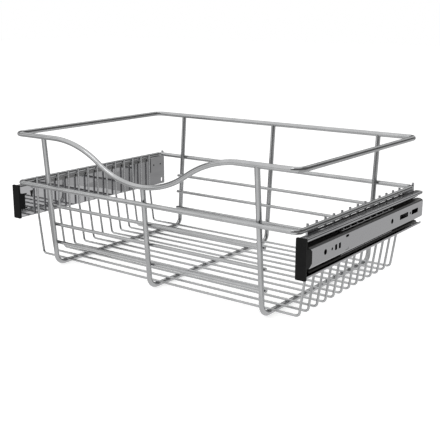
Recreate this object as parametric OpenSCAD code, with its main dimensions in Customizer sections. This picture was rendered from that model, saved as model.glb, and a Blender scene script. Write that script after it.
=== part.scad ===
// Pull-out wire basket for a kitchen cabinet. A welded basket of round wire, with a scoop bent into
// its front rim, hangs between two full-extension ball-bearing slides.
// Origin: centre of the footprint, on the surface that the basket stands on.
// X runs across the basket, -Y is the front that is pulled, Z is up. Millimetres.

/* [Basket] */
// Width over the outer faces of the two cabinet rails
overall_w = 469; // [400:1:560]
// Front to back of the ring wire, centre to centre
basket_depth = 295.3; // [285:0.1:300]
// Height of the rim wire above the ring wire, centre to centre
rim_rise = 66.8; // [60:0.1:80]
// Drop from the ring wire down to the cross wires, centre to centre
floor_drop = 104.8; // [90:0.1:120]
// How far the rim wire stands outside the ring wire on each side
rim_side_step = 0.7; // [0:0.1:1.5]
// How far the rim wire stands inside the ring wire at the front and at the back
rim_end_step = 0.6; // [0:0.1:1.5]
// Depth to which two crossing wires melt into each other at their weld
weld_bite = 0.25; // [0.1:0.05:0.35]

/* [Wires] */
// Diameter of the rim wire
rim_d = 6.5; // [5:0.1:7.5]
// Diameter of the ring wire that lies over the slides
ring_d = 6; // [5:0.1:7]
// Diameter of the three upright frame wires
frame_d = 6.5; // [5:0.1:7.5]
// Diameter of the level wires at the front and at the back
level_wire_d = 4.5; // [3:0.1:5.5]
// Diameter of the cross wires that make the floor and the sides
cross_wire_d = 3; // [2.4:0.1:3.6]
// Bend radius of the rim's corners
rim_corner_r = 10; // [8:0.5:16]
// Bend radius of the ring's corners
ring_corner_r = 7; // [6:0.5:12]
// Bend radius where the frames turn into the floor
frame_bend_r = 13; // [10:0.5:14]
// Bend radius where the cross wires turn into the sides
cross_wire_bend_r = 5; // [4:0.5:16]

/* [Scoop] */
// Depth of the scoop in the front rim
scoop_depth = 45.6; // [35:0.1:50]
// Bend radius of the bottom of the scoop
scoop_bottom_r = 125; // [100:1:135]
// Bend radius of the two shoulders of the scoop
scoop_shoulder_r = 140; // [110:1:145]

/* [Frames and level wires] */
// Distance of the outer frames from the middle one
frame_spacing = 169; // [155:0.5:180]
// How far the level wires run past the outer frames
level_wire_overrun = 0.3; // [0:0.1:8]
// Drop from the ring to the upper level wire
upper_wire_drop = 28.2; // [22:0.1:34]
// Drop from the ring to the middle level wire
middle_wire_drop = 54.1; // [46:0.1:60]
// Drop from the ring to the lower level wire
lower_wire_drop = 80; // [70:0.1:84]

/* [Cross wires] */
// Number of cross wires
cross_wire_count = 13; // [9:1:17]
// Distance of the first cross wire behind the front of the ring
first_wire_setback = 27.5; // [26:0.1:34]
// Distance of the last cross wire ahead of the back of the ring
last_wire_setback = 32.2; // [26:0.1:38]
// How far the tips of the cross wires rise above the centre of the ring
leg_rise = 3.7; // [1:0.1:6]
// How far the sides of the basket lean in below the slides
side_lean_in = 7.6; // [4:0.1:12]
// Gap between the cross wires' legs and the basket rails
rail_stand_off = 2.5; // [1.5:0.1:4]

/* [Slides] */
// Length of the slide rails
slide_len = 305; // [300:1:330]
// Height of the slides
slide_h = 45; // [43:0.5:47]
// Thickness of the slides
slide_t = 12.7; // [12.4:0.1:13.2]
// Sheet thickness of the rails
rail_sheet = 1.2; // [1:0.05:1.3]
// Bend radius in the middle of the rails' sheet
rail_bend_r = 1.2; // [1:0.1:1.6]
// Bend radius in the middle of the cabinet rails' sheet
cabinet_bend_r = 2.6; // [1.2:0.1:3]
// Height of the lips of the basket rails
lip_h = 3.2; // [2.5:0.1:4.5]
// Gap between the ring and the slides under it
slide_drop = 2.5; // [1.5:0.1:5]
// Distance of the slides' front behind the centre of the ring's front
slide_setback = 0.2; // [0:0.1:4]
// Pull-out travel of the basket
travel = 300; // [260:1:300]
// How far the cabinet rails stand out past the lips of the basket rails
cabinet_rail_proud = 1; // [0.6:0.1:1.3]
// Distance of the cabinet rails' front behind the basket rails' front
cabinet_rail_inset = 4.5; // [3:0.1:5]
// Distance of the cabinet rails' back ahead of the basket rails' back
cabinet_rail_tail = 1.2; // [0:0.1:5]
// Distance of the middle rails' front behind the basket rails' front
middle_rail_inset = 10; // [10:0.5:16]
// Distance of the middle rails' back ahead of the basket rails' back
middle_rail_tail = 11; // [8:0.5:16]
// How far the edges of the middle rails' flanges flare out
middle_flare = 1.5; // [0.5:0.1:1.7]
// Gap between a middle rail's back and the stop behind it
stop_gap = 0.3; // [0.2:0.1:2]
// Length of the stops in the cabinet rails
stop_l = 8; // [5:0.5:8.5]
// Height of the stops in the cabinet rails
stop_h = 18; // [12:0.5:18.5]

/* [Bearings] */
// Diameter of the balls between basket rail and middle rail
outer_ball_d = 4; // [3.8:0.05:4.1]
// Diameter of the balls between middle rail and cabinet rail
inner_ball_d = 3.2; // [3:0.05:3.4]
// Running clearance of a ball to each race
ball_play = 0.05; // [0.02:0.01:0.08]
// Distance from ball to ball along a retainer
ball_pitch = 17; // [12:0.5:24]
// Distance from the end of a retainer to its last ball, at least
ball_end = 6; // [5:0.5:12]
// Sheet thickness of the ball retainers
retainer_sheet = 0.4; // [0.3:0.05:0.45]
// Gap between a retainer's back and the rail on each side of it
retainer_play = 0.15; // [0.1:0.01:0.2]
// Gap between a retainer's end and the end of its run
retainer_end_gap = 2; // [1:0.5:6]

/* [Cabinet rail holes] */
// Diameter of the two screw holes in each cabinet rail
screw_hole_d = 6.4; // [4:0.1:7]
// Distance of the front screw hole from the cabinet rail's front
front_screw_inset = 34.6; // [30:0.1:40]
// Distance between the two screw holes
screw_spacing = 170; // [150:0.5:175]
// Diameter of the pilot holes
pilot_hole_d = 3.4; // [2:0.1:4]
// Distance of the front pilot hole from the cabinet rail's front
front_pilot_inset = 49.7; // [46:0.1:53]
// Distance of the rear pilot hole from the cabinet rail's front
rear_pilot_inset = 259.6; // [257:0.1:261]
// Distance of the two upright slots from the cabinet rail's front
upright_slot_insets = [58.6, 67.4];
// Width of the upright slots
upright_slot_w = 4.8; // [3.5:0.1:5.5]
// Height of the upright slots
upright_slot_h = 6.5; // [5.5:0.1:8]
// Distance of the small level slot from the cabinet rail's front
small_slot_inset = 85.1; // [80:0.1:94]
// Length of the small level slot
small_slot_l = 7.2; // [4:0.1:8.5]
// Height of the small level slot
small_slot_h = 2.8; // [2:0.1:3.4]
// Distance of the small level slot above the slide's middle
small_slot_up = 7.5; // [5:0.1:8.5]
// Length of the long level slot
long_slot_l = 25; // [18:0.5:26]
// Length of the short level slot
short_slot_l = 20; // [12:0.5:21]
// Height of the long and the short level slot
level_slot_h = 6.2; // [4:0.1:7]
// Distance of the long level slot's middle from the cabinet rail's front
long_slot_inset = 240; // [236:0.5:243]
// Distance of the short level slot's middle from the cabinet rail's front
short_slot_inset = 274; // [273.5:0.5:280]

/* [Basket rail holes] */
// Width of the small square hole near the back
square_hole_w = 4; // [2:0.1:5]
// Height of the small square hole near the back
square_hole_h = 6.2; // [4:0.1:7]
// Distance of the square hole from the basket rail's back
square_hole_tail = 6.5; // [5:0.5:9]
// Distance of the square hole below the slide's middle
square_hole_down = 15.4; // [11:0.1:16]
// Distance of the tapered hole from the basket rail's front
taper_hole_inset = 19.8; // [16:0.1:21]
// Width of the tapered hole at its top
taper_hole_top_w = 6; // [4:0.1:7]
// Width of the tapered hole at its foot
taper_hole_foot_w = 2.4; // [1.5:0.1:3]

/* [Lugs] */
// Gap between the lugs and the cross wires' legs
lug_gap = 0.1; // [0.05:0.05:0.3]
// Depth to which the ring melts into the top of the lugs
lug_bite = 0.06; // [0.02:0.01:0.08]
// Distance of the front lugs behind the basket rails' front
front_lug_inset = 20.7; // [16:0.1:28]
// Length of the front lugs
front_lug_l = 23; // [15:0.5:30]
// How far the front lugs reach down over the basket rails
front_lug_reach = 6; // [4:0.1:12]
// Length of the rear lugs
rear_lug_l = 32.5; // [30:0.5:40]
// How far the rear lugs reach down over the basket rails
rear_lug_reach = 22.4; // [16:0.1:26]
// Length of the ears that the rear lugs have behind the ring
ear_l = 3; // [2:0.1:4]
// Gap between the ring's back and the ears
ear_gap = 0.2; // [0.1:0.1:1]
// How far the ears rise above the centre of the ring
ear_rise = 5; // [3:0.1:8]
// Diameter of the holes through the rear lugs and the basket rails
lug_hole_d = 2.6; // [2:0.1:4]
// Distance of the rear lugs' holes from the back of the lugs
lug_hole_tails = [9, 25.3];
// Distance of the rear lugs' holes above the slide's middle
lug_hole_up = 11.8; // [8:0.1:16]
// Sheet thickness of the strips that join the front lugs to the rear lugs
strip_t = 0.9; // [0.6:0.1:1.2]
// How far the strips rise above the slides
strip_rise = 1.1; // [0.6:0.1:1.3]
// How far the strips reach down over the basket rails
strip_reach = 3; // [2.5:0.1:6]

/* [End caps] */
// Thickness of the end caps ahead of the slides
cap_t = 2.7; // [2:0.1:5]
// How far the end caps stand out above and below the slides
cap_margin = 0.9; // [0:0.1:1.5]
// How far the end caps stand out past the basket rails' inner faces
cap_wrap = 0.4; // [0.3:0.1:0.8]
// Corner radius of the end caps
cap_corner_r = 1.2; // [0.5:0.1:2]
// Reach of the end caps' tongues behind the basket rails' front
tongue_reach = 9.8; // [8:0.1:10.5]
// Height of the tongues at their tips
tongue_tip_h = 13; // [10:0.5:14]
// Height of the tongues at their roots
tongue_root_h = 22; // [18:0.5:22]
// Distance of the tongues above the slide's middle
tongue_up = 0.6; // [0:0.1:0.6]
// Gap between the tongues and the notches in the cabinet rails
tongue_gap = 0.4; // [0.3:0.05:0.6]
// Reach of the end caps' inner tabs behind the basket rails' front
tab_reach = 7.7; // [6:0.1:8.5]
// Top of the inner tabs above the slide's middle
tab_top = 11; // [10:0.5:13]
// Foot of the inner tabs below the slide's middle
tab_foot = 10.5; // [6:0.5:11]
// Gap between the inner tabs and the notches in the basket rails
tab_gap = 0.2; // [0.1:0.05:0.4]
// Length of the small hooks on the inner tabs
hook_l = 3.2; // [2:0.1:4]
// Height of the small hooks on the inner tabs
hook_h = 2; // [1:0.1:3]

/* [Hidden] */
$fn = 48;
function cross_wire_name(i) = str("cross_wire_", i < 9 ? "0" : "", i + 1);
SIDES = ["left", "right"];
FRAMES = ["left_frame", "middle_frame", "right_frame"];
LEVELS = ["upper", "middle", "lower"];
SLIDE_PARTS = ["basket_rail", "middle_rail", "cabinet_rail", "outer_retainer", "outer_balls",
               "inner_retainer", "inner_balls", "front_lug", "rear_lug", "carrier_strip", "stop",
               "end_cap"];

WIRE = [0.74, 0.75, 0.76];
ZINC = [0.62, 0.62, 0.64];
BRIGHT = [0.8, 0.8, 0.82];
BLACK = [0.1, 0.1, 0.11];

eps = 0.01;          // overshoot of a cut past the face that it goes through
bend_swell = 0.02;   // a wire's bends are thicker than its straights by this all round
bend_lap = 0.4;      // reach of a wire's straights into its bends
sheet_swell = 0.01;  // the same two sizes for a flared sheet
sheet_lap = 0.1;
saddle_gap = 0.05;   // gap between the rim and the saddle in a frame's tip
cope_top = 1.2;      // a frame's tip stops this far below the centre of the rim

// Heights
floor_wire_z = frame_d / 2 + bend_swell;
cross_wire_z = floor_wire_z + (frame_d + cross_wire_d) / 2 - weld_bite;
ring_z = cross_wire_z + floor_drop;
rim_z = ring_z + rim_rise;
slide_z = ring_z - ring_d / 2 - slide_drop - slide_h / 2;

// Places across the basket
web_x = overall_w / 2 - slide_t;                      // inner face of a basket rail
leg_x = web_x - rail_stand_off - cross_wire_d / 2;    // upright stretch of a cross wire
side_lean = atan(side_lean_in / (slide_z - slide_h / 2 - cross_wire_z));
ring_x = leg_x + (cross_wire_d + ring_d) / 2 - weld_bite;
rim_x = ring_x + rim_side_step;

// Places along the basket
front_reach = max(ring_d / 2 + bend_swell, cap_t - slide_setback, rim_d / 2 - rim_end_step);
ear_reach = basket_depth + ring_d / 2 + ear_gap + ear_l;
total_depth = front_reach + max(slide_setback + slide_len, ear_reach);
ring_front_y = -total_depth / 2 + front_reach;
basket_y = ring_front_y + basket_depth / 2;       // middle plane of the basket
ring_half = basket_depth / 2;
rim_half = ring_half - rim_end_step;
ring_to_frame = (ring_d + frame_d) / 2 - weld_bite;
frame_lean = (ring_to_frame - rim_end_step) / rim_rise;
rail_front_y = ring_front_y + slide_setback;
rail_back_y = rail_front_y + slide_len;
ear_back_y = ring_front_y + ear_reach;

// Distance of a frame's leaning upright from the middle plane at height z
function frame_half(z) = ring_half - ring_to_frame - (ring_z - z) * frame_lean;

// Scoop: each shoulder arc runs through a short straight into the bottom arc
scoop_straight = 3;
scoop_radii = scoop_bottom_r + scoop_shoulder_r;
scoop_turn = acos((scoop_radii - scoop_depth) / norm([scoop_radii, scoop_straight]))
    - atan2(scoop_straight, scoop_radii);
scoop_half = scoop_radii * sin(scoop_turn) + scoop_straight * cos(scoop_turn);
scoop_bottom_z = rim_z - scoop_depth;

// Cross-section of a slide. u runs outwards from the basket rail's inner face.
lip_outer_u = slide_t - cabinet_rail_proud;
race_gap_outer = outer_ball_d + 2 * ball_play;
race_gap_inner = inner_ball_d + 2 * ball_play;
web_gap = retainer_sheet + 2 * retainer_play;
middle_rail_h = slide_h - 2 * (rail_sheet + race_gap_outer);
cabinet_rail_h = middle_rail_h - 2 * (rail_sheet + race_gap_inner);
middle_u = rail_sheet + web_gap;                  // near face of the middle rail's web
cabinet_u = middle_u + rail_sheet + web_gap;      // inner edge of the cabinet rail's flanges
race_edge_gap = 1;                                // middle rail's edge to the lip's inner face
middle_outer_u = lip_outer_u - rail_sheet - race_edge_gap;
outer_ball_u = lip_outer_u / 2;                   // midway from the web to the lips
inner_ball_u = (cabinet_u + middle_outer_u) / 2;  // midway along the cabinet rail's flanges
outer_ball_v = slide_h / 2 - rail_sheet - race_gap_outer / 2;
inner_ball_v = middle_rail_h / 2 - rail_sheet - race_gap_inner / 2;
pocket_play = 0.1;                                // gap round a ball in its retainer
pocket_rim = 1;                                   // retainer sheet left beyond a pocket
retainer_bend_r = 0.6;

// Ends of the slide parts along Y
middle_front_y = rail_front_y + middle_rail_inset;
middle_back_y = rail_back_y - middle_rail_tail;
cabinet_front_y = rail_front_y + cabinet_rail_inset;
cabinet_back_y = rail_back_y - cabinet_rail_tail;
outer_run = [middle_front_y + travel / 4, rail_back_y - travel / 4];
inner_run = [cabinet_front_y + travel / 4, middle_back_y - travel / 4];
rail_corner_r = 2.5;                              // basket rail's rear outer corners
cabinet_corner_cut = 2;                           // cut on the cabinet rail's rear corners
dimple_depth = 0.4;                               // dimple opposite the small level slot
slot_corner_r = 0.9;
taper_hole_up = [4.4, 13.4];                      // foot and top of the tapered hole
plug_gap = 0.2;                                   // end cap's plug to the rail round it
plug_reach = 2.4;                                 // how deep the plug goes into the basket rail
tongue_u = slide_t - rail_sheet - race_edge_gap;  // inner side of the end cap's tongue
lug_t = rail_stand_off - lug_gap;
lug_top = slide_h / 2 + slide_drop + lug_bite;    // top of the lugs above the slide's middle
ear_chamfer = 1;
strip_chamfer = 0.6;
stop_corner_r = 1.5;

// ---------- bent bars ----------

function heading(a, b) = atan2(b[1] - a[1], b[0] - a[0]);
function wrapped(angle) = angle > 180 ? angle - 360 : angle <= -180 ? angle + 360 : angle;
function bend_at(points, i) =
    let (n = len(points), before = points[(i + n - 1) % n], after = points[(i + 1) % n])
    wrapped(heading(points[i], after) - heading(before, points[i]));
function is_end(points, i, closed) = !closed && (i == 0 || i == len(points) - 1);
function setback(points, i, r, closed) =
    is_end(points, i, closed) ? 0 : r * tan(abs(bend_at(points, i)) / 2);

// A bar bent round the corners of a path in the XY plane. Its first child is the 2D section of
// its straights, its last child that of its bends. Each straight reaches by lap into its bends.
// radii holds one bend radius for each point.
module bent_bar(points, radii, closed = false, lap = 0) {
    n = len(points);
    for (i = [0 : n - (closed ? 1 : 2)]) {
        from = points[i];
        to = points[(i + 1) % n];
        start = setback(points, i, radii[i], closed);
        stop = norm(to - from) - setback(points, (i + 1) % n, radii[(i + 1) % n], closed);
        start_lap = is_end(points, i, closed) ? 0 : lap;
        stop_lap = is_end(points, (i + 1) % n, closed) ? 0 : lap;
        if (stop - start > eps)
            translate([from[0], from[1], 0]) rotate([0, 0, heading(from, to)])
                translate([start - start_lap, 0, 0]) rotate([90, 0, 90])
                    linear_extrude(height = stop - start + start_lap + stop_lap) children(0);
    }
    for (i = [0 : n - 1]) {
        if (!is_end(points, i, closed)) {
            r = radii[i];
            turn = bend_at(points, i);
            way = heading(points[(i + n - 1) % n], points[i]);
            side = turn > 0 ? 1 : -1;
            back = setback(points, i, r, closed);
            centre = points[i] - back * [cos(way), sin(way)] + side * r * [-sin(way), cos(way)];
            translate([centre[0], centre[1], 0])
                rotate([0, 0, turn > 0 ? way - 90 : way + 90 + turn])
                    rotate_extrude(angle = abs(turn)) translate([r, 0]) children($children - 1);
        }
    }
}

function same(value, points) = [for (point = points) value];

// Round wire: its bends are a hair thicker than its straights, which end inside them
module bent_wire(points, radii, d, closed = false) {
    bent_bar(points, radii, closed, bend_lap) {
        circle(d = d);
        circle(d = d + 2 * bend_swell);
    }
}

// ---------- the wires ----------

// The rim: its front straights and scoop lie in one upright plane, the rest of it lies level
module top_rim() {
    corner_x = rim_x - rim_corner_r;
    level_path = [[corner_x, -rim_half], [rim_x, -rim_half], [rim_x, rim_half],
                  [-rim_x, rim_half], [-rim_x, -rim_half], [-corner_x, -rim_half]];
    front_x = corner_x + bend_lap;
    shoulder_x = scoop_half - scoop_shoulder_r * tan(scoop_turn / 2);
    trough_z = scoop_bottom_z + scoop_bottom_r - scoop_bottom_r / cos(scoop_turn);
    front_path = [[-front_x, rim_z], [-shoulder_x, rim_z], [0, trough_z],
                  [shoulder_x, rim_z], [front_x, rim_z]];
    front_radii = [0, scoop_shoulder_r, scoop_bottom_r, scoop_shoulder_r, 0];
    color(WIRE) union() {
        translate([0, basket_y, rim_z])
            bent_wire(level_path, same(rim_corner_r, level_path), rim_d);
        translate([0, basket_y - rim_half, 0]) rotate([90, 0, 0])
            bent_wire(front_path, front_radii, rim_d);
    }
}

module mid_ring() {
    corners = [[-ring_x, -ring_half], [ring_x, -ring_half], [ring_x, ring_half],
               [-ring_x, ring_half]];
    color(WIRE) translate([0, basket_y, ring_z])
        bent_wire(corners, same(ring_corner_r, corners), ring_d, closed = true);
}

// A U of wire in the YZ plane at x: its uprights end in a saddle under the rim.
// front_z and back_z are the heights of the rim's centre over its two uprights.
module frame(x, front_z, back_z) {
    front_top = front_z - cope_top;
    back_top = back_z - cope_top;
    path = [[-frame_half(front_top), front_top], [-frame_half(floor_wire_z), floor_wire_z],
            [frame_half(floor_wire_z), floor_wire_z], [frame_half(back_top), back_top]];
    color(WIRE) difference() {
        translate([x, basket_y, 0]) rotate([90, 0, 90])
            bent_wire(path, same(frame_bend_r, path), frame_d);
        for (end = [[-rim_half, front_z], [rim_half, back_z]])
            translate([x - frame_d, basket_y + end[0], end[1]]) rotate([0, 90, 0])
                cylinder(r = rim_d / 2 + saddle_gap, h = 2 * frame_d);
    }
}

// A level wire on the inner side of the frames; side is -1 at the front and 1 at the back
module level_wire(side, drop) {
    z = ring_z - drop;
    touch = ((frame_d + level_wire_d) / 2 - weld_bite) * sqrt(1 + frame_lean * frame_lean);
    half_l = frame_spacing + frame_d / 2 + level_wire_overrun;
    color(WIRE) translate([-half_l, basket_y + side * (frame_half(z) - touch), z])
        rotate([0, 90, 0]) cylinder(d = level_wire_d, h = 2 * half_l);
}

// A cross wire: floor in the middle, leaning sides, upright legs beside the basket rails
module cross_wire(i) {
    pitch = (basket_depth - first_wire_setback - last_wire_setback) / (cross_wire_count - 1);
    kink_z = slide_z - slide_h / 2 - cross_wire_bend_r * tan(side_lean / 2);
    foot_x = leg_x - side_lean_in;
    tip_z = ring_z + leg_rise;
    path = [[-leg_x, tip_z], [-leg_x, kink_z], [-foot_x, cross_wire_z],
            [foot_x, cross_wire_z], [leg_x, kink_z], [leg_x, tip_z]];
    color(WIRE) translate([0, ring_front_y + first_wire_setback + i * pitch, 0])
        rotate([90, 0, 0]) bent_wire(path, same(cross_wire_bend_r, path), cross_wire_d);
}

// ---------- the slides ----------

// Places a slide part on the right, or mirrored on the left. Inside it X is u, Z is v.
module on_side(side) {
    mirror([side == "left" ? 1 : 0, 0, 0]) translate([web_x, 0, slide_z]) children();
}

// A C-shaped sheet from y0 to y1. Its web's middle is at web_u, its flanges end at edge_u.
// h is its outer height. A lip over 0 turns back in at the edge; a flare over 0 opens the edge
// outwards, halfway between level and upright.
module c_sheet(y0, y1, web_u, edge_u, h, sheet, bend_r, lip = 0, flare = 0) {
    half = (h - sheet) / 2;
    flanges = [[edge_u, -half], [web_u, -half], [web_u, half], [edge_u, half]];
    lip_u = edge_u - sheet / 2;
    lips = [[lip_u, lip - h / 2], [lip_u, -half], [web_u, -half], [web_u, half],
            [lip_u, half], [lip_u, h / 2 - lip]];
    flare_u = edge_u - sheet / sqrt(8);
    flares = [[flare_u, -half - flare], [flare_u - flare, -half], [web_u, -half], [web_u, half],
              [flare_u - flare, half], [flare_u, half + flare]];
    swell = flare > 0 ? sheet_swell : 0;
    translate([0, (y0 + y1) / 2, 0]) rotate([90, 0, 0])
        bent_bar(lip > 0 ? lips : flare > 0 ? flares : flanges, same(bend_r, lips),
                 lap = flare > 0 ? sheet_lap : 0) {
            square([sheet, y1 - y0], center = true);
            square([sheet + 2 * swell, y1 - y0], center = true);
        }
}

module rounded_rect(w, h, r) {
    square([w - 2 * r, h], center = true);
    square([w, h - 2 * r], center = true);
    for (x = [-1, 1], y = [-1, 1])
        translate([x * (w / 2 - r), y * (h / 2 - r)]) circle(r = r);
}

// A plate from u0 to u1 of the 2D shape given as child, which has its x along Y, its y along Z
module plate(u0, u1, y, v) {
    translate([u0, y, v]) rotate([90, 0, 90]) linear_extrude(height = u1 - u0) children();
}

module basket_rail(side) {
    cut = [-eps, rail_sheet + eps];
    notch_h = tab_top + tab_foot + 2 * tab_gap;
    taper = [[-taper_hole_foot_w / 2, taper_hole_up[0]], [taper_hole_foot_w / 2, taper_hole_up[0]],
             [taper_hole_top_w / 2, taper_hole_up[1]], [-taper_hole_top_w / 2, taper_hole_up[1]]];
    color(ZINC) on_side(side) difference() {
        c_sheet(rail_front_y, rail_back_y, rail_sheet / 2, lip_outer_u, slide_h, rail_sheet,
                rail_bend_r, lip_h);
        plate(cut[0], cut[1], rail_front_y - eps, -tab_foot - tab_gap)
            square([tab_reach + tab_gap + eps, notch_h]);
        plate(cut[0], cut[1], rail_front_y + taper_hole_inset, 0) polygon(taper);
        for (tail = lug_hole_tails)
            plate(cut[0], cut[1], ear_back_y - tail, lug_hole_up) circle(d = lug_hole_d);
        plate(cut[0], cut[1], rail_back_y - square_hole_tail, -square_hole_down)
            square([square_hole_w, square_hole_h], center = true);
        translate([lip_outer_u - rail_corner_r, rail_back_y - rail_corner_r, -slide_h / 2 - eps])
            difference() {
                cube([rail_corner_r + eps, rail_corner_r + eps, slide_h + 2 * eps]);
                translate([0, 0, -eps]) cylinder(r = rail_corner_r, h = slide_h + 4 * eps);
            }
    }
}

// A lug that carries the basket rail: it lies on the rail's inner face, under the ring
module front_lug(side) {
    foot = slide_h / 2 - front_lug_reach;
    color(ZINC) on_side(side) plate(-lug_t, 0, rail_front_y + front_lug_inset, foot)
        square([front_lug_l, lug_top - foot]);
}

// The rear lug has an ear that stands up behind the corner of the ring
module rear_lug(side) {
    foot = slide_h / 2 - rear_lug_reach;
    ear_top = ring_z + ear_rise - slide_z;
    outline = [[-rear_lug_l, foot], [0, foot], [0, ear_top - ear_chamfer],
               [-ear_chamfer, ear_top], [-ear_l, ear_top], [-ear_l, lug_top],
               [-rear_lug_l, lug_top]];
    color(ZINC) on_side(side) difference() {
        plate(-lug_t, 0, ear_back_y, 0) polygon(outline);
        for (tail = lug_hole_tails)
            plate(-lug_t - eps, eps, ear_back_y - tail, lug_hole_up) circle(d = lug_hole_d);
    }
}

// A low strip on the rail's inner face, from the front lug to the rear lug
module carrier_strip(side) {
    front_y = rail_front_y + front_lug_inset + front_lug_l;
    strip_l = ear_back_y - rear_lug_l - front_y;
    foot = slide_h / 2 - strip_reach;
    top = slide_h / 2 + strip_rise;
    outline = [[0, foot], [strip_l, foot], [strip_l, top - strip_chamfer],
               [strip_l - strip_chamfer, top], [strip_chamfer, top], [0, top - strip_chamfer]];
    color(ZINC) on_side(side) plate(-strip_t, 0, front_y, 0) polygon(outline);
}

module middle_rail(side) {
    color(ZINC) on_side(side)
        c_sheet(middle_front_y, middle_back_y, middle_u + rail_sheet / 2, middle_outer_u,
                middle_rail_h, rail_sheet, rail_bend_r, flare = middle_flare);
}

module cabinet_rail(side) {
    cut = [slide_t - rail_sheet - eps, slide_t + eps];
    corner_side = cabinet_corner_cut * sqrt(2);
    notch_reach = tongue_reach - cabinet_rail_inset + tongue_gap;
    notch = [[-eps, -tongue_root_h / 2 - tongue_gap], [notch_reach, -tongue_tip_h / 2 - tongue_gap],
             [notch_reach, tongue_tip_h / 2 + tongue_gap], [-eps, tongue_root_h / 2 + tongue_gap]];
    color(ZINC) on_side(side) difference() {
        c_sheet(cabinet_front_y, cabinet_back_y, slide_t - rail_sheet / 2, cabinet_u,
                cabinet_rail_h, rail_sheet, cabinet_bend_r);
        plate(tongue_u - tongue_gap, slide_t + eps, cabinet_front_y, tongue_up) polygon(notch);
        plate(cut[0], cut[1], cabinet_front_y, 0) {
            for (inset = [front_screw_inset, front_screw_inset + screw_spacing])
                translate([inset, 0]) circle(d = screw_hole_d);
            for (inset = [front_pilot_inset, rear_pilot_inset])
                translate([inset, 0]) circle(d = pilot_hole_d);
            for (inset = upright_slot_insets)
                translate([inset, 0]) rounded_rect(upright_slot_w, upright_slot_h, slot_corner_r);
            translate([small_slot_inset, small_slot_up])
                rounded_rect(small_slot_l, small_slot_h, slot_corner_r);
            translate([long_slot_inset, 0]) rounded_rect(long_slot_l, level_slot_h, slot_corner_r);
            translate([short_slot_inset, 0])
                rounded_rect(short_slot_l, level_slot_h, slot_corner_r);
        }
        plate(slide_t - dimple_depth, slide_t + eps, cabinet_front_y + small_slot_inset,
                -small_slot_up)
            rounded_rect(small_slot_l, small_slot_h, slot_corner_r);
        for (v = [-1, 1])
            translate([slide_t, cabinet_back_y, v * cabinet_rail_h / 2]) rotate([45, 0, 0])
                cube([2 * cabinet_bend_r + rail_sheet, corner_side, corner_side], center = true);
    }
}

// Places of the balls along one row: as many as the run takes, spread about its middle
function ball_row(run) =
    let (room = run[1] - run[0] - 2 * (retainer_end_gap + ball_end),
         count = floor(room / ball_pitch), middle = (run[0] + run[1]) / 2)
    [for (i = [0 : count]) middle + (i - count / 2) * ball_pitch];

module retainer(side, run, web_u, ball_u, ball_v, ball_d) {
    pocket_d = ball_d + 2 * pocket_play;
    color(BRIGHT) on_side(side) difference() {
        c_sheet(run[0] + retainer_end_gap, run[1] - retainer_end_gap, web_u,
                ball_u + pocket_d / 2 + pocket_rim, 2 * ball_v + retainer_sheet,
                retainer_sheet, retainer_bend_r);
        for (y = ball_row(run), v = [-1, 1])
            translate([ball_u, y, v * ball_v])
                cylinder(d = pocket_d, h = 3 * retainer_sheet, center = true);
    }
}

module balls(side, run, ball_u, ball_v, ball_d) {
    color(BRIGHT) on_side(side)
        for (y = ball_row(run), v = [-1, 1])
            translate([ball_u, y, v * ball_v]) sphere(d = ball_d);
}

module outer_retainer(side) {
    retainer(side, outer_run, rail_sheet + web_gap / 2, outer_ball_u, outer_ball_v, outer_ball_d);
}

module outer_balls(side) {
    balls(side, outer_run, outer_ball_u, outer_ball_v, outer_ball_d);
}

module inner_retainer(side) {
    retainer(side, inner_run, cabinet_u - web_gap / 2, inner_ball_u, inner_ball_v, inner_ball_d);
}

module inner_balls(side) {
    balls(side, inner_run, inner_ball_u, inner_ball_v, inner_ball_d);
}

// Plastic block in the cabinet rail, which stops the middle rail when the basket is shut
module stop(side) {
    w = slide_t - rail_sheet - middle_u;
    color(BLACK) on_side(side)
        translate([middle_u + w / 2, middle_back_y + stop_gap + stop_l, 0]) rotate([90, 0, 0])
            linear_extrude(height = stop_l) rounded_rect(w, stop_h, stop_corner_r);
}

// Plastic cap on a basket rail's front, with a plug in the rail, a tongue that sits in the
// cabinet rail's notch when the basket is shut, and a tab in the basket rail's own notch
module end_cap(side) {
    face_w = slide_t + cap_wrap;
    face_h = slide_h + 2 * cap_margin;
    plug_u = [rail_sheet + plug_gap, lip_outer_u - rail_sheet - plug_gap];
    plug_h = slide_h - 2 * (rail_sheet + plug_gap);
    tongue = [[-eps, -tongue_root_h / 2], [cabinet_rail_inset, -tongue_root_h / 2],
              [tongue_reach, -tongue_tip_h / 2], [tongue_reach, tongue_tip_h / 2],
              [cabinet_rail_inset, tongue_root_h / 2], [-eps, tongue_root_h / 2]];
    color(BLACK) on_side(side) translate([0, rail_front_y, 0]) union() {
        translate([(slide_t - cap_wrap) / 2, 0, 0]) rotate([90, 0, 0])
            linear_extrude(height = cap_t) rounded_rect(face_w, face_h, cap_corner_r);
        translate([plug_u[0], -eps, -plug_h / 2])
            cube([plug_u[1] - plug_u[0], plug_reach + eps, plug_h]);
        plate(tongue_u, slide_t, 0, tongue_up) polygon(tongue);
        translate([-cap_wrap, -eps, -tab_foot])
            cube([cap_wrap + rail_sheet - tab_gap, tab_reach + eps, tab_foot + tab_top]);
        for (v = [-tab_foot, tab_top - hook_h])
            translate([-cap_wrap, tab_reach - eps, v]) cube([cap_wrap, hook_l + eps, hook_h]);
    }
}

// ---------- nodes ----------

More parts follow.
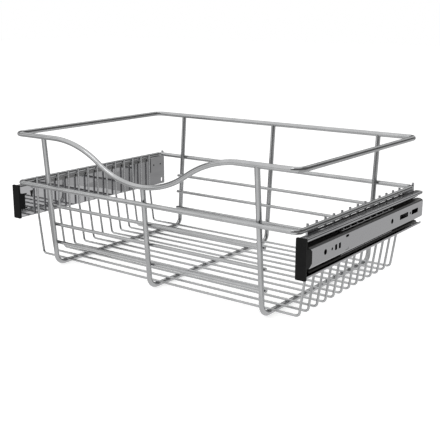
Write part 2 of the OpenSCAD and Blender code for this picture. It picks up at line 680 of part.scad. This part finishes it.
top_rim();
mid_ring();
frame(-frame_spacing, rim_z, rim_z);  // left_frame
frame(0, scoop_bottom_z, rim_z);  // middle_frame
frame(frame_spacing, rim_z, rim_z);  // right_frame
level_wire(-1, upper_wire_drop);  // front_wire_upper
level_wire(-1, middle_wire_drop);  // front_wire_middle
level_wire(-1, lower_wire_drop);  // front_wire_lower
level_wire(1, upper_wire_drop);  // back_wire_upper
level_wire(1, middle_wire_drop);  // back_wire_middle
level_wire(1, lower_wire_drop);  // back_wire_lower
for (i = [0 : cross_wire_count - 1])
    cross_wire(i);
for (side = SIDES) {
    basket_rail(side);
    middle_rail(side);
    cabinet_rail(side);
    outer_retainer(side);
    outer_balls(side);
    inner_retainer(side);
    inner_balls(side);
    front_lug(side);
    rear_lug(side);
    carrier_strip(side);
    stop(side);
    end_cap(side);
}
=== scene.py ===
"""Looks of a pull-out wire basket on two ball-bearing slides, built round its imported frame.

Metres. X runs across the basket, -Y is the front that is pulled, Z is up, and the basket
stands on z = 0.
"""

import math

import bmesh
import bpy
from mathutils import Matrix, Vector


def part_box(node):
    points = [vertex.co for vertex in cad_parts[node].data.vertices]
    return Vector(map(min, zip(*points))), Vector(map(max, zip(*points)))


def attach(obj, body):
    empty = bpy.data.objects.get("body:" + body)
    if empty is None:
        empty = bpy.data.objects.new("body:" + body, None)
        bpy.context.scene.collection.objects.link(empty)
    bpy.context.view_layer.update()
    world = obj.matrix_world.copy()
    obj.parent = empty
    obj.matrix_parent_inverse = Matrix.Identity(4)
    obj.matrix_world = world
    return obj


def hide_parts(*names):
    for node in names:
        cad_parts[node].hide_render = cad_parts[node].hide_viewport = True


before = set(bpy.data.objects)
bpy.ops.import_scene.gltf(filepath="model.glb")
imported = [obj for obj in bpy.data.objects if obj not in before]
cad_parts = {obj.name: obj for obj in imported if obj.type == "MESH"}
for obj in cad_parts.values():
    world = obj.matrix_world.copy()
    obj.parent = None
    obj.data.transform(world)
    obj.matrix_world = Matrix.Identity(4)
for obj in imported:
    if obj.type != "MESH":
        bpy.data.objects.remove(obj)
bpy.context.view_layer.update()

MM = 0.001
SIDES = ("left", "right")

# Welds between the wires
RING_R = 3.02 * MM           # radius of the ring's wire
WELD_BITE = 0.12 * MM        # how far a weld sits inside the skin of the thinner wire
CROSS_NUGGET_R = 1.3 * MM
RING_NUGGET_R = 1.9 * MM
SMALLEST_NUGGET = 0.85       # shares of a nugget's radius
LARGEST_NUGGET = 1.15
NUGGET_SEED = 7

# Race beads on the flanges of the basket rails
BEAD_INSET = 3.6 * MM        # from the rail's web to the near edge of the bead
BEAD_W = 6.0 * MM
BEAD_RISE = 0.5 * MM
BEAD_SINK = 0.05 * MM        # how far the bead's edges lie inside the flange
BEAD_END = 2.5 * MM          # from the flange's end to the bead, and the length of its run-out
BEAD_STEPS = 10              # facets over the bead's width

# Painted shade on the cabinet rails: their flanges are darkened where the slide's channel shades
# them
SHADE_EDGE = 0.8 * MM         # from the rail's outer face in to where the painted shade is full
SHADE_FADE = 0.4 * MM

# Plastic caps
CAP_EDGE = 0.35 * MM         # rounding of their edges
CAP_EDGE_STEPS = 2
CAP_CORNER = math.radians(40)    # edges sharper than this are rounded
CAP_FLAT = math.radians(1)       # facets closer than this are one face
CAP_MERGE = 0.001 * MM

# Camera, by the middle of the ring's front
CAMERA_HEADING = math.radians(36.47)     # from straight in front round to the right
CAMERA_ELEVATION = math.radians(14.18)
CAMERA_ROLL = math.radians(0.14)
CAMERA_FROM_RING = Vector((647.92, -714.19, 222.9)) * MM
CAMERA_LENS = 66.42                      # on a sensor 36 wide
CAMERA_SENSOR = 36

# Studio
AMBIENT = 0.6                # strength of the white surroundings as light
FLOOR_HALF = 8.0
FLOOR_GREY = 0.8
CARD_STEP = 12               # degrees of heading in one facet of a card
CARD_LIFT = 0.5 * MM         # of the cards that lie on the floor
CENTRE = 0.001
NEAR = 0.27                  # distances of the cards' edges from the basket's middle
MIDWAY = 0.85
LOW_WALL = 2.9
WALL = 3.0
WALL_H = 5.6
HIGHLIGHT_CARD_H = 2.6

# ---------- helpers ----------


def new_object(name, data):
    made = bpy.data.objects.new(name, data)
    bpy.context.scene.collection.objects.link(made)
    return made


def node_box(node):
    """The two corners of a node's box."""
    low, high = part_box(node)
    return Vector(low), Vector(high)


def middle(node):
    low, high = node_box(node)
    return (low + high) / 2


def new_material(name):
    """A material, its emptied tree and its Principled shader."""
    material = bpy.data.materials.new(name)
    material.use_nodes = True
    tree = material.node_tree
    tree.nodes.clear()
    shader = tree.nodes.new("ShaderNodeBsdfPrincipled")
    output = tree.nodes.new("ShaderNodeOutputMaterial")
    tree.links.new(shader.outputs["BSDF"], output.inputs["Surface"])
    return material, tree, shader


def new_metal(name):
    material, tree, shader = new_material(name)
    shader.inputs["Metallic"].default_value = 1.0
    return material, tree, shader


def own_place(tree):
    """The point's place on the piece's own coordinates, in metres."""
    return tree.nodes.new("ShaderNodeTexCoord").outputs["Object"]


def grain(tree, scale, stretch=(1, 1, 1)):
    """Noise of so many grains a metre. A stretch under 1 draws the grains out along that axis."""
    mapping = tree.nodes.new("ShaderNodeMapping")
    mapping.inputs["Scale"].default_value = stretch
    noise = tree.nodes.new("ShaderNodeTexNoise")
    noise.inputs["Scale"].default_value = scale
    noise.inputs["Detail"].default_value = 3.0
    tree.links.new(own_place(tree), mapping.inputs["Vector"])
    tree.links.new(mapping.outputs["Vector"], noise.inputs["Vector"])
    return noise.outputs["Fac"]


# Nearly all of a noise lies between these two values.
NOISE_LOW = 0.3
NOISE_HIGH = 0.7


def set_roughness(tree, shader, pattern, smooth, rough):
    """Roughness that goes from smooth to rough with a pattern."""
    node = tree.nodes.new("ShaderNodeMapRange")
    node.inputs["From Min"].default_value = NOISE_LOW
    node.inputs["From Max"].default_value = NOISE_HIGH
    node.inputs["To Min"].default_value = smooth
    node.inputs["To Max"].default_value = rough
    tree.links.new(pattern, node.inputs["Value"])
    tree.links.new(node.outputs["Result"], shader.inputs["Roughness"])


def set_colour(tree, shader, pattern, first, last):
    """Colour that goes from the first to the last with a pattern."""
    ramp = tree.nodes.new("ShaderNodeValToRGB")
    start, end = ramp.color_ramp.elements
    start.position = NOISE_LOW
    start.color = (*first, 1)
    end.position = NOISE_HIGH
    end.color = (*last, 1)
    tree.links.new(pattern, ramp.inputs["Fac"])
    tree.links.new(ramp.outputs["Color"], shader.inputs["Base Color"])


def raise_surface(tree, shader, pattern, height):
    """Bump of the given height, in metres."""
    bump = tree.nodes.new("ShaderNodeBump")
    bump.inputs["Distance"].default_value = height
    bump.inputs["Strength"].default_value = 1.0
    tree.links.new(pattern, bump.inputs["Height"])
    tree.links.new(bump.outputs["Normal"], shader.inputs["Normal"])


def calculate(tree, operation, first, second=None):
    """A sum on one or two sockets. The second may be a number."""
    node = tree.nodes.new("ShaderNodeMath")
    node.operation = operation
    tree.links.new(first, node.inputs[0])
    if isinstance(second, (int, float)):
        node.inputs[1].default_value = second
    elif second is not None:
        tree.links.new(second, node.inputs[1])
    return node.outputs[0]


# ---------- finishes ----------


def plated_wire():
    material, tree, shader = new_metal("plated_wire")
    cloud = grain(tree, 60)
    fine = grain(tree, 900)
    set_colour(tree, shader, cloud, (0.465, 0.47, 0.475), (0.53, 0.535, 0.54))
    set_roughness(tree, shader, fine, 0.12, 0.2)
    raise_surface(tree, shader, fine, 0.01 * MM)
    return material


def zinc_sheet():
    """Bright sheet with the fine lines of the rolling mill along the slide."""
    material, tree, shader = new_metal("zinc_sheet")
    rolled = grain(tree, 700, stretch=(1, 0.04, 1))
    cloud = grain(tree, 90, stretch=(1, 0.3, 1))
    set_colour(tree, shader, cloud, (0.48, 0.48, 0.49), (0.53, 0.53, 0.54))
    set_roughness(tree, shader, rolled, 0.01, 0.025)
    raise_surface(tree, shader, rolled, 0.002 * MM)
    return material


def steel_in_painted_shade():
    """Zinc sheet deep in the slide, darkened with painted shade for the shade deep inside the
    slide.
    """
    material, tree, shader = new_metal("steel_in_painted_shade")
    patches = grain(tree, 160, stretch=(1, 0.1, 1))
    # painted shade: a dark colour that stands in for the shade deep in the slide
    set_colour(tree, shader, patches, (0.14, 0.14, 0.138), (0.19, 0.19, 0.187))
    set_roughness(tree, shader, patches, 0.22, 0.36)
    return material


def flanges_in_painted_shade():
    """Zinc sheet whose flanges are darkened with painted shade, for the shade inside the slide's
    channel.
    """
    material, tree, shader = new_metal("zinc_with_painted_shade_on_flanges")
    low, high = node_box("left_cabinet_rail")
    full_shade = (high.z - low.z) / 2 - SHADE_EDGE
    axes = tree.nodes.new("ShaderNodeSeparateXYZ")
    tree.links.new(own_place(tree), axes.inputs["Vector"])
    off_middle = calculate(tree, "SUBTRACT", axes.outputs["Z"], middle("left_cabinet_rail").z)
    shade_ramp = tree.nodes.new("ShaderNodeMapRange")
    shade_ramp.inputs["From Min"].default_value = full_shade - SHADE_FADE
    shade_ramp.inputs["From Max"].default_value = full_shade
    tree.links.new(calculate(tree, "ABSOLUTE", off_middle), shade_ramp.inputs["Value"])
    shade_share = shade_ramp.outputs["Result"]
    # painted shade: the flanges go from the zinc's colour to dark, for the shade in the slide's
    # channel
    set_colour(tree, shader, shade_share, (0.505, 0.505, 0.515), (0.15, 0.15, 0.148))
    set_roughness(tree, shader, shade_share, 0.1, 0.3)
    return material


def sheet_in_painted_shade():
    # painted shade: the strips get a darker sheet than the zinc, for the dark shade line under the
    # ring
    material, tree, shader = new_metal("sheet_in_painted_shade")
    cloud = grain(tree, 240, stretch=(1, 0.3, 1))
    set_colour(tree, shader, cloud, (0.24, 0.24, 0.24), (0.31, 0.31, 0.31))
    set_roughness(tree, shader, cloud, 0.2, 0.3)
    return material


def bright_steel():
    material, tree, shader = new_metal("bright_steel")
    cloud = grain(tree, 300)
    set_colour(tree, shader, cloud, (0.6, 0.6, 0.61), (0.68, 0.68, 0.69))
    set_roughness(tree, shader, cloud, 0.12, 0.2)
    return material


def black_plastic():
    material, tree, shader = new_material("black_plastic")
    grit = grain(tree, 2500)
    cloud = grain(tree, 120)
    set_colour(tree, shader, cloud, (0.004, 0.004, 0.0044), (0.007, 0.007, 0.0074))
    shader.inputs["Specular IOR Level"].default_value = 0.16
    set_roughness(tree, shader, grit, 0.42, 0.55)
    raise_surface(tree, shader, grit, 0.02 * MM)
    return material


WIRE = plated_wire()
ZINC = zinc_sheet()
STEEL_IN_PAINTED_SHADE = steel_in_painted_shade()
FLANGES_IN_PAINTED_SHADE = flanges_in_painted_shade()
SHEET_IN_PAINTED_SHADE = sheet_in_painted_shade()
BRIGHT = bright_steel()
BLACK = black_plastic()


def finish_of(node):
    if node.endswith(("cap", "stop")):
        return BLACK
    if node.endswith(("balls", "retainer")):
        return BRIGHT
    # the middle rails are coloured with painted shade
    if node.endswith("middle_rail"):
        return STEEL_IN_PAINTED_SHADE
    # the cabinet rails' flanges carry painted shade
    if node.endswith("cabinet_rail"):
        return FLANGES_IN_PAINTED_SHADE
    # the strips get the darker sheet of painted shade
    if node.endswith("strip"):
        return SHEET_IN_PAINTED_SHADE
    if node.endswith(("rail", "lug")):
        return ZINC
    return WIRE


def finish_nodes():
    for name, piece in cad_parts.items():
        piece.data.materials.clear()
        piece.data.materials.append(finish_of(name))


# ---------- welds ----------


def weld_places():
    """Every place where two wires of the basket are welded, with its nugget's radius."""
    frames_x = [middle(which + "_frame").x for which in ("left", "middle", "right")]
    ring_low, ring_high = node_box("mid_ring")
    ring_z = middle("mid_ring").z
    places = []
    for name in sorted(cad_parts):
        low, high = node_box(name)
        if name.startswith("cross_wire"):
            y = middle(name).y
            places += [((x, y, low.z + WELD_BITE), CROSS_NUGGET_R) for x in frames_x]
            places += [((low.x + WELD_BITE, y, ring_z), CROSS_NUGGET_R),
                       ((high.x - WELD_BITE, y, ring_z), CROSS_NUGGET_R)]
        if name.startswith(("front_wire", "back_wire")):
            y = low.y + WELD_BITE if name.startswith("front") else high.y - WELD_BITE
            places += [((x, y, middle(name).z), CROSS_NUGGET_R) for x in frames_x]
    ring_inside = 2 * RING_R - WELD_BITE
    for y in (ring_low.y + ring_inside, ring_high.y - ring_inside):
        places += [((x, y, ring_z), RING_NUGGET_R) for x in frames_x]
    return places


def nugget_tree():
    """Puts a small lump of weld, each a little larger or smaller, on every point."""
    tree = bpy.data.node_groups.new("weld_nuggets", "GeometryNodeTree")
    sockets = tree.interface
    sockets.new_socket("Geometry", in_out="INPUT", socket_type="NodeSocketGeometry")
    sockets.new_socket("Metal", in_out="INPUT", socket_type="NodeSocketMaterial")
    sockets.new_socket("Smallest", in_out="INPUT", socket_type="NodeSocketFloat")
    sockets.new_socket("Largest", in_out="INPUT", socket_type="NodeSocketFloat")
    sockets.new_socket("Geometry", in_out="OUTPUT", socket_type="NodeSocketGeometry")
    given = tree.nodes.new("NodeGroupInput")
    result = tree.nodes.new("NodeGroupOutput")
    lump = tree.nodes.new("GeometryNodeMeshIcoSphere")
    lump.inputs["Radius"].default_value = 1.0
    lump.inputs["Subdivisions"].default_value = 2
    radius = tree.nodes.new("GeometryNodeInputNamedAttribute")
    radius.data_type = "FLOAT"
    radius.inputs["Name"].default_value = "radius"
    chance = tree.nodes.new("FunctionNodeRandomValue")
    chance.data_type = "FLOAT"
    chance.inputs["Seed"].default_value = NUGGET_SEED
    place = tree.nodes.new("GeometryNodeInstanceOnPoints")
    real = tree.nodes.new("GeometryNodeRealizeInstances")
    finish = tree.nodes.new("GeometryNodeSetMaterial")
    # The node has a set of sockets for each type of value: these are the ones for numbers.
    smallest, largest, share = chance.inputs[2], chance.inputs[3], chance.outputs[1]
    tree.links.new(given.outputs["Smallest"], smallest)
    tree.links.new(given.outputs["Largest"], largest)
    size = calculate(tree, "MULTIPLY", radius.outputs["Attribute"], share)
    tree.links.new(given.outputs["Geometry"], place.inputs["Points"])
    tree.links.new(lump.outputs["Mesh"], place.inputs["Instance"])
    tree.links.new(size, place.inputs["Scale"])
    tree.links.new(place.outputs["Instances"], real.inputs["Geometry"])
    tree.links.new(real.outputs["Geometry"], finish.inputs["Geometry"])
    tree.links.new(given.outputs["Metal"], finish.inputs["Material"])
    tree.links.new(finish.outputs["Geometry"], result.inputs["Geometry"])
    return tree


def socket_of(tree, name):
    """The identifier of a tree's named input."""
    return next(item.identifier for item in tree.interface.items_tree
                if item.in_out == "INPUT" and item.name == name)


def make_welds():
    places = weld_places()
    points = bpy.data.meshes.new("weld_points")
    points.from_pydata([place for place, radius in places], [], [])
    radii = points.attributes.new("radius", "FLOAT", "POINT")
    for item, (place, radius) in zip(radii.data, places):
        item.value = radius
    pattern = new_object("weld_pattern", points)
    tree = nugget_tree()
    maker = pattern.modifiers.new("weld_nuggets", "NODES")
    maker.node_group = tree
    maker[socket_of(tree, "Metal")] = WIRE
    maker[socket_of(tree, "Smallest")] = SMALLEST_NUGGET
    maker[socket_of(tree, "Largest")] = LARGEST_NUGGET
    graph = bpy.context.evaluated_depsgraph_get()
    mesh = bpy.data.meshes.new_from_object(pattern.evaluated_get(graph))
    bpy.data.objects.remove(pattern)
    mesh.shade_smooth()
    welds = new_object("weld_nuggets", mesh)
    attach(welds, "basket")


# ---------- race beads ----------


def add_bead(shape, stations, bead_x, face_z, out):
    """One bead with a closed flat back, through its stations along y, each with its rise."""
    rows = []
    for y, rise in stations:
        row = []
        for i in range(BEAD_STEPS + 1):
            share = i / BEAD_STEPS
            lift = rise * math.sin(math.pi * share) - BEAD_SINK
            row.append(shape.verts.new((bead_x(share), y, face_z + out * lift)))
        rows.append(row)
    for near, far in zip(rows, rows[1:]):
        for i in range(BEAD_STEPS):
            shape.faces.new((near[i], near[i + 1], far[i + 1], far[i]))
    rim = rows[0] + [row[-1] for row in rows[1:-1]] + rows[-1][::-1]
    rim += [row[0] for row in rows[-2:0:-1]]
    shape.faces.new(rim)


def race_beads(side):
    """The shallow ribs that the rolled ball races raise along a basket rail's two flanges."""
    low, high = node_box(side + "_basket_rail")
    web_x = low.x if side == "right" else high.x
    outward = 1 if side == "right" else -1

    def bead_x(share):
        return web_x + outward * (BEAD_INSET + BEAD_W * share)

    stations = ((low.y + BEAD_END, 0), (low.y + 2 * BEAD_END, BEAD_RISE),
                (high.y - 2 * BEAD_END, BEAD_RISE), (high.y - BEAD_END, 0))
    shape = bmesh.new()
    add_bead(shape, stations, bead_x, high.z, 1)
    add_bead(shape, stations, bead_x, low.z, -1)
    bmesh.ops.recalc_face_normals(shape, faces=shape.faces)
    mesh = bpy.data.meshes.new(side + "_race_beads")
    shape.to_mesh(mesh)
    shape.free()
    mesh.shade_smooth()
    mesh.materials.append(ZINC)
    beads = new_object(side + "_race_beads", mesh)
    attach(beads, "basket")


# ---------- moulded caps ----------


def mould_cap(side):
    """The plastic cap on the front of a slide, with its edges rounded."""
    node = side + "_end_cap"
    shape = bmesh.new()
    shape.from_mesh(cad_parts[node].data)
    bmesh.ops.remove_doubles(shape, verts=shape.verts, dist=CAP_MERGE)
    bmesh.ops.dissolve_limit(shape, angle_limit=CAP_FLAT, verts=shape.verts, edges=shape.edges)
    mesh = bpy.data.meshes.new(side + "_cap_moulding")
    shape.to_mesh(mesh)
    shape.free()
    mesh.materials.clear()
    mesh.materials.append(BLACK)
    cap = new_object(side + "_cap_moulding", mesh)
    edge = cap.modifiers.new("rounded_edges", "BEVEL")
    edge.width = CAP_EDGE
    edge.segments = CAP_EDGE_STEPS
    edge.limit_method = "ANGLE"
    edge.angle_limit = CAP_CORNER
    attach(cap, "basket")
    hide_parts(node)


# ---------- studio ----------


def place_camera():
    """Looks down on the front right corner, from a place measured from the ring's front."""
    ring_low, ring_high = node_box("mid_ring")
    ring_front = Vector((0, ring_low.y + RING_R, (ring_low.z + ring_high.z) / 2))
    ahead = math.cos(CAMERA_ELEVATION)
    back = Vector((math.sin(CAMERA_HEADING) * ahead, -math.cos(CAMERA_HEADING) * ahead,
                   math.sin(CAMERA_ELEVATION)))
    level = Vector((math.cos(CAMERA_HEADING), math.sin(CAMERA_HEADING), 0))
    upright = back.cross(level)
    right = level * math.cos(CAMERA_ROLL) + upright * math.sin(CAMERA_ROLL)
    up = upright * math.cos(CAMERA_ROLL) - level * math.sin(CAMERA_ROLL)
    data = bpy.data.cameras.new("camera")
    data.sensor_width = CAMERA_SENSOR
    data.lens = CAMERA_LENS
    data.clip_start = 0.05
    data.clip_end = 60
    camera = new_object("camera", data)
    turn = Matrix((right, up, back)).transposed()
    camera.matrix_world = Matrix.Translation(ring_front + CAMERA_FROM_RING) @ turn.to_4x4()
    bpy.context.scene.camera = camera


def seen_directly(tree):
    """1 for rays from the camera and for what metal and glass show, else 0."""
    rays = tree.nodes.new("ShaderNodeLightPath").outputs
    either = calculate(tree, "MAXIMUM", rays["Is Camera Ray"], rays["Is Glossy Ray"])
    return calculate(tree, "MAXIMUM", either, rays["Is Transmission Ray"])


def light_world():
    """White surroundings that light the basket a little less than they show."""
    world = bpy.data.worlds.new("studio")
    bpy.context.scene.world = world
    world.use_nodes = True
    tree = world.node_tree
    tree.nodes.clear()
    output = tree.nodes.new("ShaderNodeOutputWorld")
    background = tree.nodes.new("ShaderNodeBackground")
    background.inputs["Color"].default_value = (1, 1, 1, 1)
    strength = tree.nodes.new("ShaderNodeMapRange")
    strength.inputs["To Min"].default_value = AMBIENT
    strength.inputs["To Max"].default_value = 1.0
    tree.links.new(seen_directly(tree), strength.inputs["Value"])
    tree.links.new(strength.outputs["Result"], background.inputs["Strength"])
    tree.links.new(background.outputs["Background"], output.inputs["Surface"])


def lay_floor():
    """A pale floor that shows nearly white and keeps the basket's shadow."""
    corners = [(x * FLOOR_HALF, y * FLOOR_HALF, 0) for x, y in ((-1, -1), (1, -1), (1, 1), (-1, 1))]
    mesh = bpy.data.meshes.new("floor")
    mesh.from_pydata(corners, [], [(0, 1, 2, 3)])
    floor = new_object("floor", mesh)
    material, tree, shader = new_material("pale_floor")
    shader.inputs["Base Color"].default_value = (FLOOR_GREY, FLOOR_GREY, FLOOR_GREY, 1)
    shader.inputs["Roughness"].default_value = 0.9
    shader.inputs["Specular IOR Level"].default_value = 0.0
    shader.inputs["Emission Color"].default_value = (1, 1, 1, 1)
    glow = calculate(tree, "MULTIPLY", seen_directly(tree), AMBIENT)
    tree.links.new(glow, shader.inputs["Emission Strength"])
    mesh.materials.append(material)


def around(heading, distance, height):
    """Point at a heading, in degrees from straight back towards the right."""
    turn = math.radians(heading)
    return (distance * math.sin(turn), distance * math.cos(turn), height)


def hang_card(name, headings, inner, outer, shade):
    """A grey card from one heading to another, between two edges, each a distance and a height.

    It shows in the metal and nowhere else, as a painted reflection, and lets all light through.
    """
    start, end = headings
    count = math.ceil((end - start) / CARD_STEP)
    turns = [start + (end - start) * i / count for i in range(count + 1)]
    corners = [around(turn, *edge) for edge in (inner, outer) for turn in turns]
    faces = [(i, i + 1, count + i + 2, count + i + 1) for i in range(count)]
    mesh = bpy.data.meshes.new(name)
    mesh.from_pydata(corners, [], faces)
    card = new_object(name, mesh)
    material, tree, shader = new_material(name)
    shader.inputs["Base Color"].default_value = (0, 0, 0, 1)
    shader.inputs["Specular IOR Level"].default_value = 0.0
    shader.inputs["Emission Color"].default_value = (1, 1, 1, 1)
    shader.inputs["Emission Strength"].default_value = shade
    mesh.materials.append(material)
    card.visible_camera = False
    card.visible_diffuse = False
    card.visible_shadow = False


def lay_card(name, headings, near, far, shade):
    hang_card(name, headings, (near, CARD_LIFT), (far, CARD_LIFT), shade)


def stand_card(name, headings, distance, bottom, top, shade):
    hang_card(name, headings, (distance, bottom), (distance, top), shade)


def hang_cards():
    # Cards seen only in the metal: the grey ones are painted reflections of walls and floor, and
    # the bright card overhead is a painted highlight.
    lay_card("floor_under_basket", (0, 360), CENTRE, NEAR, shade=0.78)
    lay_card("floor_in_front", (126, 198), NEAR, MIDWAY, shade=0.88)
    lay_card("far_floor_in_front", (126, 198), MIDWAY, WALL, shade=0.45)
    lay_card("floor_left", (198, 300), NEAR, WALL, shade=0.5)
    lay_card("floor_back_left", (300, 378), NEAR, WALL, shade=0.42)
    lay_card("floor_right", (18, 126), NEAR, WALL, shade=0.58)
    stand_card("low_wall_back_left", (-60, -12), LOW_WALL, bottom=0, top=1.15, shade=0.15)
    stand_card("wall_behind", (-18, 18), WALL, bottom=0, top=WALL_H, shade=0.66)
    stand_card("wall_back_right", (18, 54), WALL, bottom=0, top=WALL_H, shade=0.12)
    stand_card("wall_right", (54, 198), WALL, bottom=0, top=WALL_H, shade=0.16)
    stand_card("low_wall_left", (234, 306), WALL, bottom=0, top=0.75, shade=0.66)
    stand_card("wall_left", (234, 342), WALL, bottom=0.75, top=2.1, shade=0.3)
    # painted highlight: a glowing card that lights nothing and shows only in the metal
    hang_card("highlight_card_overhead", (180, 210), (1.4, HIGHLIGHT_CARD_H), (2.4, HIGHLIGHT_CARD_H), shade=3)


def hang_light(name, place, target, size, power):
    """A soft lamp that the metal doesn't show."""
    data = bpy.data.lights.new(name, "AREA")
    data.shape = "RECTANGLE"
    data.size, data.size_y = size
    data.energy = power
    lamp = new_object(name, data)
    lamp.location = place
    lamp.visible_glossy = False
    aim = Vector(target) - Vector(place)
    lamp.rotation_euler = aim.to_track_quat("-Z", "Y").to_euler()


finish_nodes()
make_welds()
for side in SIDES:
    race_beads(side)
    mould_cap(side)
place_camera()
light_world()
lay_floor()
hang_cards()
hang_light("key", place=(-1.15, -1.05, 1.4), target=(0, 0, 0.08), size=(2.2, 1.6), power=14)
bpy.context.scene.view_settings.view_transform = "Standard"
